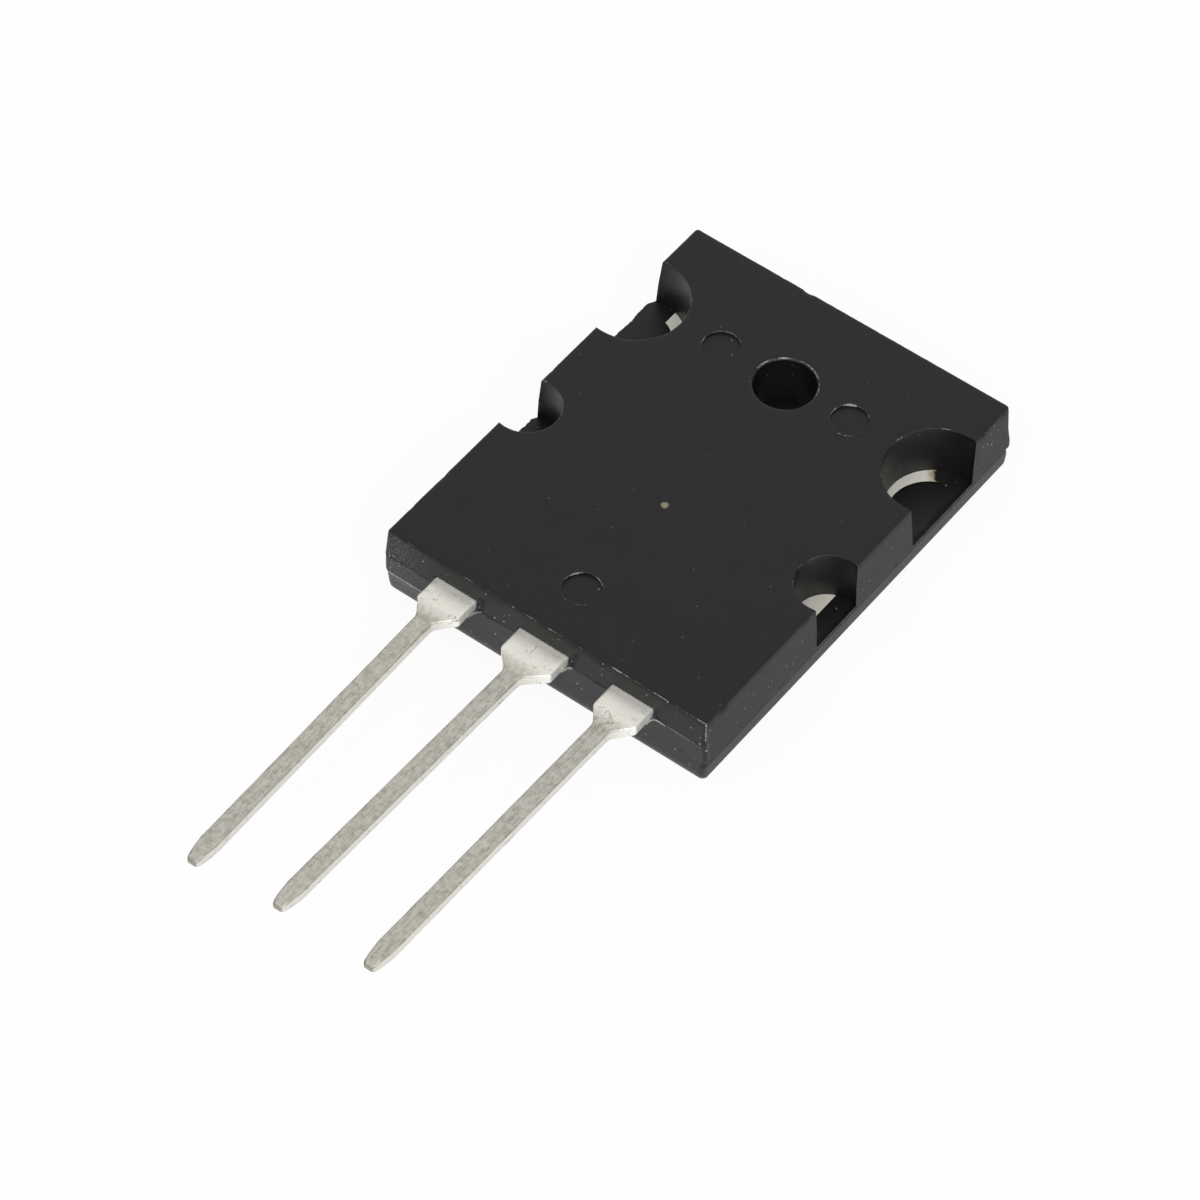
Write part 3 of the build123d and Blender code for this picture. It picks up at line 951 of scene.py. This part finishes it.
def corner_pale_line(x, y, z):
    """Pale line down the upright corners: the right one of the lead wall is pale from the rim to the ledge.
    """
    inset = 0.1 + max(0.0, wall_inset(max(z, PARTING_Z)))
    gap = math.hypot(HALF_WIDTH - inset - abs(x), min(y - WALL_Y, END_Y - y) - inset)
    is_worst = x > 0 and y < 0
    return (1.0 if is_worst else 0.35) * ridge(gap, 0.06) * (z > 1.7)


REAR_LEFT = (-0.59, 0.81)        # the way in which the painted highlight on the ejector marks' rims is strongest


def ring_highlight(x, y, z):
    """Painted highlights on the round rims in the top: ejector marks, screw hole and notches."""
    if z < TOP_Z - 0.09:
        return 0.0
    amount = 0.0
    # Painted highlight on each mark's rim, strongest on its rear side.
    for cx, cy in EJECTOR_CENTRES:
        away = math.hypot(x - cx, y - cy)
        if away < EJECTOR_R + 0.2:
            towards_rear = ((x - cx) * REAR_LEFT[0] + (y - cy) * REAR_LEFT[1]) / max(away, 0.1)
            width = 0.12 if cx > 0 and towards_rear > 0.9 else 0.035
            amount = max(amount, (0.6 + 0.4 * max(0.0, towards_rear)) * ridge(away - EJECTOR_R - 0.02, width))
    # Painted highlight on the screw hole's rim, strongest on its rear half, and then on the notches' rims.
    away = math.hypot(x, y)
    amount = max(amount, (0.9 if y > 0 else 0.3) * ridge(away - HOLE_R - 0.07, 0.04))
    for (cx, cy), (_, radius) in ((NOTCH_BIG, BIG_R), (NOTCH_SMALL, SMALL_R)):
        gap = math.hypot(abs(x) - cx, y - cy) - radius - 0.02
        amount = max(amount, 0.5 * ridge(gap, 0.035))
    return amount


def in_groove(x, y, z):
    """Whether a point is in the groove under the ledge of the long sides and the rear, where shade is
    painted.
    """
    return y > WALL_Y + WALL_REACH and GROOVE_BOTTOM + 0.01 < z < LEDGE_Z + 0.001


def wear_and_painted_light(point):
    """How pale the plastic is at a point, from 0 to 1: wear, pale edges and painted highlights.

    Below 0 it paints shade as a lower sheen: in the groove under the ledge and down the right side.
    """
    # Painted shade: the groove under the ledge gets a lower sheen, so it reads as a dark shadow line.
    if in_groove(*point):
        return -0.75 - 0.3 * rough(point, 0.6, 3.0)
    grain = 0.75 + 0.7 * rough(point, 0.7, 8.0) + 0.3 * rough(point, 0.3, 9.0)
    wear = max(part(*point) for part in (rim_pale_line, joint_wear_and_ledge_highlight, corner_pale_line, ring_highlight))
    # Painted shade: the right side gets a lower sheen, so it comes out darker.
    on_right_side = point[0] > HALF_WIDTH - 0.3 and point[1] > WALL_Y + 0.35 and point[2] < TOP_Z - 0.1
    right_side_painted_shade = 0.48 if on_right_side else 0.0
    return min(max(wear * grain, 0.0) - right_side_painted_shade, 1.0)


def scuffed(point):
    """How many bare grains show: most on the lead wall, at its left end, and at the right rear corner."""
    x, y, z = point
    if z >= RIM_Z:
        return 0.12
    if y < WALL_Y + WALL_REACH:
        return 1.1 + 0.75 * min(1.0, max(0.0, (-5.5 - x) / 3.5))
    if x > HALF_WIDTH - 0.35:
        return 1.1 if y > 3.5 else 0.5
    return 0.9 if abs(z - HEADER_TOP) < 0.05 else 0.4


def store_on_points(piece, name, measure):
    """Keeps measure(point in mm) on every point of a piece, for its material to read."""
    values = [measure(v.co / MM) for v in piece.data.vertices]
    layer = piece.data.attributes.new(name, "FLOAT", "POINT")
    layer.data.foreach_set("value", values)
    print(piece.name, name, "mean", round(sum(values) / len(values), 3))


store_on_points(epoxy_body, "wear_and_painted_light", wear_and_painted_light)
store_on_points(epoxy_body, "scuffed", scuffed)

# %% The epoxy
epoxy, node, place = new_material("mineral_filled_epoxy")
cloud = node("TexNoise", {"Vector": place, "Scale": per_mm(2.5), "Detail": 4.0, "Roughness": 0.6})

# Stray grains of filler: one in each cell of 0.3 mm at most, and only some cells have one.
filler_cell = node("TexVoronoi", {"Vector": place, "Scale": per_mm(0.3), "Randomness": 1.0})
filler_near = node("MapRange", (filler_cell, 0.10, 0.19, 1.0, 0.0))
filler_pick = node("SeparateColor", {"Color": filler_cell.outputs["Color"]}).outputs["Red"]
scuff = node("Attribute", attribute_name="scuffed").outputs["Fac"]
filler_shown = node("Math", (scuff, 0.24, filler_pick), operation="MULTIPLY_ADD")
filler_rare = node("MapRange", (filler_shown, 0.98, 1.2, 0.0, 0.9))
filler = node("Math", (filler_near, filler_rare), operation="MULTIPLY")

# Pale edges, painted highlights and the dusty left end of the lead wall, broken up as fine as the filler.
wear_and_light_level = node("Attribute", attribute_name="wear_and_painted_light").outputs["Fac"]
rub_grain = node("TexNoise", {"Vector": place, "Scale": per_mm(0.09), "Detail": 2.0})
dust = node("Math", (scuff, rub_grain), operation="MULTIPLY")
dust_amount = node("MapRange", (dust, 0.85, 1.5, 0.0, 0.3))
# Pale colour on edges: wear on the joint line, and painted highlights on the ledge and the round rims.
pale_edge_and_highlight_broken = node("Math", (wear_and_light_level, rub_grain), operation="MULTIPLY")
pale_edge_and_highlight_amount = node("MapRange", (pale_edge_and_highlight_broken, 0.2, 0.45, 0.0, 0.9))

# One small dot that marks the mould cavity, in the middle of the front half.
DOT_PLACE, DOT_R = (0, -10.1, TOP_Z), 0.2
dot_way = node("VectorMath", (place, [c * MM for c in DOT_PLACE]), operation="DISTANCE")
dot_grain = node("TexNoise", {"Vector": place, "Scale": per_mm(0.12), "Detail": 2.0})
dot_edge = node("Math", (dot_grain, 0.12 * MM, dot_way), operation="MULTIPLY_ADD")
dot_amount = node("MapRange", (dot_edge, DOT_R * MM, (DOT_R + 0.09) * MM, 0.8, 0.0))

# The colours lie over one another: plain plastic, grains, dust, pale edges with painted highlights, and the
# dot.
tone = node("Mix", {"Factor": cloud, "A": colour("0c0c0d"), "B": colour("121213")}, data_type="RGBA")
tone = laid_over(node, tone, (
    (filler, colour("a8a6a0")), (dust_amount, colour("a8a6a0")), (pale_edge_and_highlight_amount, colour("a9a7a3")),
    (dot_amount, colour("8f8672")),
))

# The spark-eroded mould leaves fine pits. Real ones are 0.02 mm across, and these are drawn at 0.11 mm.
pits = node("TexNoise", {"Vector": place, "Scale": per_mm(0.11), "Detail": 3.0, "Roughness": 0.65})
matt = node("MapRange", (cloud, 0.0, 1.0, 0.36, 0.46))
# Painted shade: below 0 the stored value lowers the sheen, which darkens the groove and the right side.
sheen = node("MapRange", (wear_and_light_level, -0.9, 0.0, 0.03, 0.31))
finish(node, pits, 0.35, 0.02, {"Base Color": tone, "Roughness": matt, "Specular IOR Level": sheen})
dress(epoxy_body, epoxy)

# %% Thin flash
thin_epoxy = grained("thin_epoxy_flash", "5f5c57", "bab7b0", 0.15, 0.45, metallic=0.0, uneven=0.0, relief=0.3)
dress(lead_flash, thin_epoxy)

# %% [markdown]
# ## Tin plating
# The leads are plated with matt tin after trimming. It is a warm, pale grey metal whose fine crystals scatter
# part of the light like powder, so it isn't fully metallic here. The sheared sides are painted brighter than
# the rolled faces, as a painted highlight, and the edges between them get a dark line of painted shade in
# places. Handling leaves the tails mottled, with streaks along them and hair scratches, while the shoulders
# stay smoother, and a strip of painted highlight runs where each lead leaves the plastic.

# %% Tinned leads
tin, node, place = new_material("matte_tin_plating")
faces = node("SeparateXYZ", {"Vector": node("NewGeometry").outputs["Normal"]}).outputs
along_lead = node("SeparateXYZ", {"Vector": place}).outputs["Y"]
handled = node("MapRange", (along_lead, TAIL_START_Y * MM, SHOULDER_END_Y * MM, 1.0, 0.06))
along = node("Mapping", {"Vector": place, "Scale": (1.0, 0.15, 1.0)})
streak = node("TexNoise", {"Vector": along, "Scale": per_mm(0.12), "Detail": 4.0, "Roughness": 0.7})
patch = node("TexNoise", {"Vector": place, "Scale": per_mm(0.3), "Detail": 5.0, "Roughness": 0.75})
dull = node("Math", (streak, patch), operation="MULTIPLY")
dull_spread = node("MapRange", (dull, 0.16, 0.38))
dull_amount = node("Math", (dull_spread, handled), operation="MULTIPLY")
# Painted highlight: faces that turn sideways get a lighter tone.
side_highlight_share = node("MapRange", (faces["Z"], 0.2, 0.6, 0.8, 0.0))
# Painted shade: a dark line along the rounded edge between top and side.
edge_gap = node("Math", (faces["Z"], 0.6), operation="SUBTRACT")
edge_off = node("Math", (edge_gap,), operation="ABSOLUTE")
edge_share = node("MapRange", (edge_off, 0.12, 0.36, 1.4, 0.0))

# Painted shade along the rounded edges: the left edge of each lead is darkened from end to end, and the
# right one only on the tail, in places.
edge_side = node("MapRange", (faces["X"], -0.2, 0.2, 1.1, 0.45))
edge_where = node("Math", (edge_side, patch), operation="MULTIPLY")
edge_shade_on_tail = node("Math", (edge_where, handled), operation="MULTIPLY")
painted_edge_shade = node("Math", (edge_share, edge_shade_on_tail), operation="MULTIPLY")

# Hair scratches, a painted highlight where the lead leaves the plastic, and the dark cut end of its tip.
scratch = node("TexNoise", {
    "Vector": place, "Scale": per_mm(1.3), "Detail": 0.0, "Distortion": 1.2, "Offset": 1.0,
}, noise_type="RIDGED_MULTIFRACTAL")
scratch_here = node("Math", (patch, 0.25, scratch), operation="MULTIPLY_ADD")
scratch_line = node("MapRange", (scratch_here, 1.09, 1.15))
# Painted highlight: a bright strip on the lead where it leaves the plastic.
wall_highlight = node("MapRange", (along_lead, (WALL_Y - 0.16) * MM, (WALL_Y - 0.06) * MM, 0.0, 0.8))
at_tip = node("MapRange", (along_lead, (TIP_Y + 0.02) * MM, (TIP_Y + 0.09) * MM, 0.7, 0.0))

# Rolled faces and sides both darken where they were handled; the sides' lighter tone is a painted highlight.
# The rest lies over them.
tone, side_highlight_tone = (
    node("Mix", {"Factor": handled, "A": colour(clean), "B": colour(worn)}, data_type="RGBA")
    for clean, worn in (("f2f0e5", "c5c2b8"), ("fffefa", "e2e0d8"))
)
tone = laid_over(node, tone, (
    (dull_amount, colour("9a958a")), (side_highlight_share, side_highlight_tone), (painted_edge_shade, colour("4d4943")),
    (scratch_line, colour("9a948a")), (wall_highlight, colour("fffefa")), (at_tip, colour("726d64")),
))

grain = node("TexNoise", {"Vector": place, "Scale": per_mm(0.1), "Detail": 3.0, "Roughness": 0.6})
relief = node("Math", (scratch_line, -0.8, grain), operation="MULTIPLY_ADD")
tin_matt = node("MapRange", (dull_amount, 0.0, 1.0, 0.36, 0.5))
finish(node, relief, 0.45, 0.02, {"Base Color": tone, "Metallic": 0.6, "Roughness": tin_matt})
for piece in lead_pieces:
    dress(piece, tin)

# %% [markdown]
# ## Nickel plating
# The copper plate is nickel plated so that it solders well and doesn't tarnish. Rolling leaves faint lines
# along its back. Its upper side was etched matt so that the plastic grips it, and where the plastic ends
# there is a yellowish stain of resin.

# %% Plate
nickel, node, place = new_material("satin_nickel_plating")
rolled = node("Mapping", {"Vector": place, "Scale": (1.0, 0.04, 1.0)})
lines = node("TexNoise", {"Vector": rolled, "Scale": per_mm(0.15), "Detail": 3.0})
level = node("SeparateXYZ", {"Vector": place}).outputs["Z"]
metal_share = node("MapRange", (level, 0.3 * MM, 1.5 * MM, 1.0, 0.2))
stain = node("TexNoise", {"Vector": place, "Scale": per_mm(1.8), "Detail": 5.0, "Roughness": 0.6})
stain_amount = node("MapRange", (stain, 0.45, 0.75))

# A thin film of resin crept over the plate at the rear of the right large notch, and stained it round about.
FILM_PLACE = (8.75, 2.25, HEADER_TOP)
film_way = node("VectorMath", (place, [c * MM for c in FILM_PLACE]), operation="DISTANCE")
film_noise = node("TexNoise", {"Vector": place, "Scale": per_mm(0.25), "Detail": 3.0})
film_edge = node("Math", (film_noise, 0.35 * MM, film_way), operation="MULTIPLY_ADD")
film = node("MapRange", (film_edge, 0.90 * MM, 0.97 * MM, 1.0, 0.0))
stained = node("MapRange", (film_edge, 0.97 * MM, 1.3 * MM, 0.9, 0.0))

# The etched upper side and the rolled back have their own tones. The stain and the film lie over them.
tone, back_tone = (
    node("Mix", {"Factor": amount, "A": colour(light), "B": colour(dark)}, data_type="RGBA")
    for amount, light, dark in ((stain_amount, "fffdf2", "efebdd"), (lines, "e3e0d5", "b9b6ab"))
)
tone = laid_over(
    node, tone, ((metal_share, back_tone), (stained, colour("a08a52")), (film, colour("121213"))),
)
plate_metallic = node("Math", (metal_share, film), operation="SUBTRACT", use_clamp=True)
nickel_matt = node("MapRange", (lines, 0.0, 1.0, 0.3, 0.5))
finish(node, lines, 0.25, 0.01, {"Base Color": tone, "Metallic": plate_metallic, "Roughness": nickel_matt})
dress(frame["nodes"]["heat_sink"], nickel)

# %% [markdown]
# ## Chip, solder and bond wires
# These are sealed in the plastic and only seen when the part is opened up. They still get what they are:
# polished silicon with a faint blue-grey sheen, dull lead-tin solder, and drawn aluminium wire.

# %% Inner metals
INNER_FINISHES = {
    "transistor_chip": grained("polished_silicon", "6d737c", "5b616b", 0.8, 0.15),
    "die_attach_solder": grained("reflowed_lead_tin_solder", "a5a6a4", "8b8c8b", 0.3, 0.4),
    "bond_wire": grained("drawn_aluminium_wire", "dcdcda", "c2c3c2", 0.1, 0.3, stretch=(1, 0.2, 1)),
}
for name, material in INNER_FINISHES.items():
    for full_name in frame["nodes"]:
        if name in full_name:
            dress(frame["nodes"][full_name], material)
print("inner finishes:", ", ".join(INNER_FINISHES))

# %% [markdown]
# ## Floor and light
# The part lies on a white table in a light tent, whose ceiling is a little dimmer than its sides, so the
# walls of the part come out lighter than its top. Two large soft lamps give the leads a bright side and the
# walls a direction. The floor is matt white. Where the camera or a reflection looks at it, most of it is
# shown as plain white, so the background stays clean and the metal has something white to mirror, while a
# part of the shadow stays. Under the screw hole the sheet keeps nearly all of its own shade.

# %% White light tent
def seen_directly(node):
    """1 where a camera, mirror or glass ray looks at the surface, and 0 for the light that it sheds."""
    rays = node("LightPath").outputs
    either = node("Math", (rays["Is Camera Ray"], rays["Is Glossy Ray"]), operation="MAXIMUM")
    return node("Math", (either, rays["Is Transmission Ray"]), operation="MAXIMUM")


TENT_LIGHT, CEILING_SHARE, FLOOR_WHITE_SHARE = 0.76, 0.82, 0.92
world = bpy.data.worlds.new("light_tent")
scene.world = world
node = new_nodes(world)
direction = node("TexCoord").outputs["Generated"]
rise = node("SeparateXYZ", {"Vector": direction}).outputs["Z"]
ceiling = node("MapRange", (rise, 0.15, 0.9, 1.0, CEILING_SHARE))
tent_level = node("MapRange", (seen_directly(node), 0.0, 1.0, TENT_LIGHT))
brightness = node("Math", (ceiling, tent_level), operation="MULTIPLY")
tent = node("Background", {"Color": colour("ffffff"), "Strength": brightness})
node("OutputWorld", {"Surface": tent})
bpy.context.scene.view_settings.view_transform = "Standard"

paper, node, place = new_material("matte_white_paper")
fibre = node("TexNoise", {"Vector": place, "Scale": per_mm(0.6), "Detail": 3.0})
fibre_bump = node("Bump", {"Strength": 0.1, "Distance": 0.02 * MM, "Height": fibre})
matt_paper = node("BsdfDiffuse", {"Color": colour("f2f2f2"), "Normal": fibre_bump})
plain_white = node("Emission", {"Color": colour("ffffff"), "Strength": 1.0})
hole_way = node("VectorMath", (place,), operation="LENGTH")
outside_hole = node("MapRange", (hole_way, 2 * HOLE_R * MM, 3 * HOLE_R * MM, 0.1, FLOOR_WHITE_SHARE))
white_share = node("Math", (seen_directly(node), outside_hole), operation="MULTIPLY")
sheet = node("MixShader", (white_share, matt_paper, plain_white))
node("OutputMaterial", {"Surface": sheet})

FLOOR_HALF, FLOOR_DROP = 1000 * MM, 0.01 * MM
floor_mesh = bpy.data.meshes.new("floor")
corners = [(x, y, -FLOOR_DROP) for x, y in ((-1, -1), (1, -1), (1, 1), (-1, 1))]
floor_mesh.from_pydata([(x * FLOOR_HALF, y * FLOOR_HALF, z) for x, y, z in corners], [], [(0, 1, 2, 3)])
floor = placed("floor", floor_mesh)
dress(floor, paper)


# %% Soft lamps
LAMP_DISTANCE, LAMP_SIZE = 600, 350
LAMPS = ("right_softbox", (0.8, -0.4, 0.8), 1.2), ("front_softbox", (0.1, -0.8, 0.9), 0.9)
for name, towards, power in LAMPS:
    light = bpy.data.lights.new(name, "AREA")
    light.shape, light.size, light.energy = "SQUARE", LAMP_SIZE * MM, power
    lamp = placed(name, light)
    way = Vector(towards).normalized()
    lamp.location = way * LAMP_DISTANCE * MM
    lamp.rotation_mode = "QUATERNION"
    lamp.rotation_quaternion = way.to_track_quat("Z", "Y")

# %% [markdown]
# ## Camera
# The part is seen from its front right, well above it, through a long lens from about 0.3 m, so its sides
# nearly stay parallel. The camera leans very slightly, as a hand-held one does.

# %% Camera
CAMERA = {
    "azimuth": 36.03, "elevation": 51.11, "roll": 1.48, "distance": 290.7, "lens": 175.7,
    "shift": (-0.0239, -0.0248),
}
AIM = Vector((0, -13, 2.5)) * MM
a, e, r = (math.radians(CAMERA[k]) for k in ("azimuth", "elevation", "roll"))
back = Vector((math.sin(a) * math.cos(e), -math.cos(a) * math.cos(e), math.sin(e)))
camera = placed("camera", bpy.data.cameras.new("camera"))
camera.data.lens = CAMERA["lens"]
camera.data.sensor_width = 36
camera.data.shift_x, camera.data.shift_y = CAMERA["shift"]
camera.data.clip_start, camera.data.clip_end = 0.01, 10
right = Vector((math.cos(a), math.sin(a), 0))
up = back.cross(right)
side = right * math.cos(r) + up * math.sin(r)
top = up * math.cos(r) - right * math.sin(r)
camera.location = AIM + back * CAMERA["distance"] * MM
camera.rotation_mode = "QUATERNION"
camera.rotation_quaternion = Matrix((side, top, back)).transposed().to_quaternion()
bpy.context.scene.camera = camera
